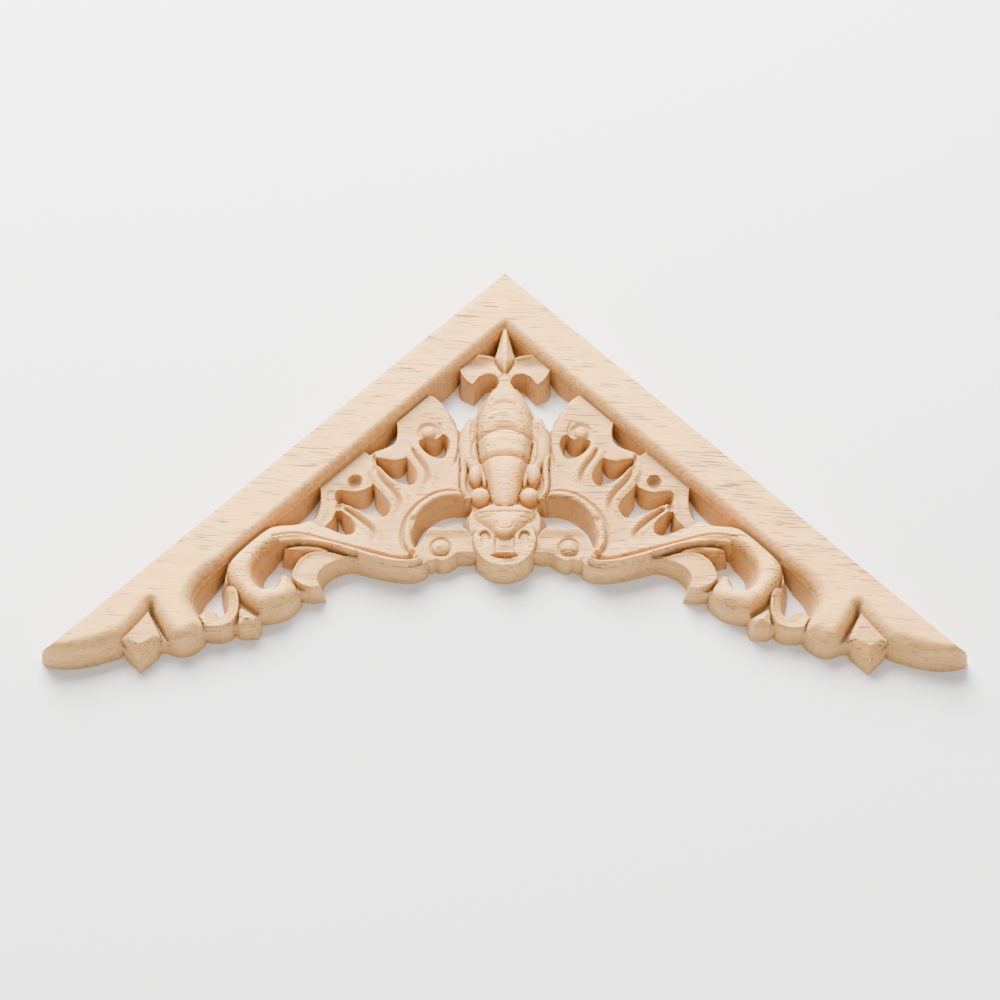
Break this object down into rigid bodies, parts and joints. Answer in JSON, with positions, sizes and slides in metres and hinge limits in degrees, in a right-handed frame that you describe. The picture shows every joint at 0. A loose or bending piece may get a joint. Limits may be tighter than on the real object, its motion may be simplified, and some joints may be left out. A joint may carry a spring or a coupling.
{
  "type": "carved corner onlay",
  "caption": "Pierced wooden corner onlay for furniture: a bat with spread scrolled wings, a coin and a lily carved between plain rails that meet at a right angle.",
  "frame": {"origin": "on the flat back, in the middle of the back's box", "axes": "+Z from the back to the carved top, +Y towards the corner where the rails meet, +X along the longest extent, to the right as the carving is looked at with that corner up"},
  "size_m": [0.2862, 0.1448, 0.012],
  "materials": {
    "raw_wood": "raw pale hardwood, sanded, unfinished, with short brown pores"
  },
  "bodies": {
    "root": {"corner_onlay": "raw_wood"}
  },
  "joints": []
}
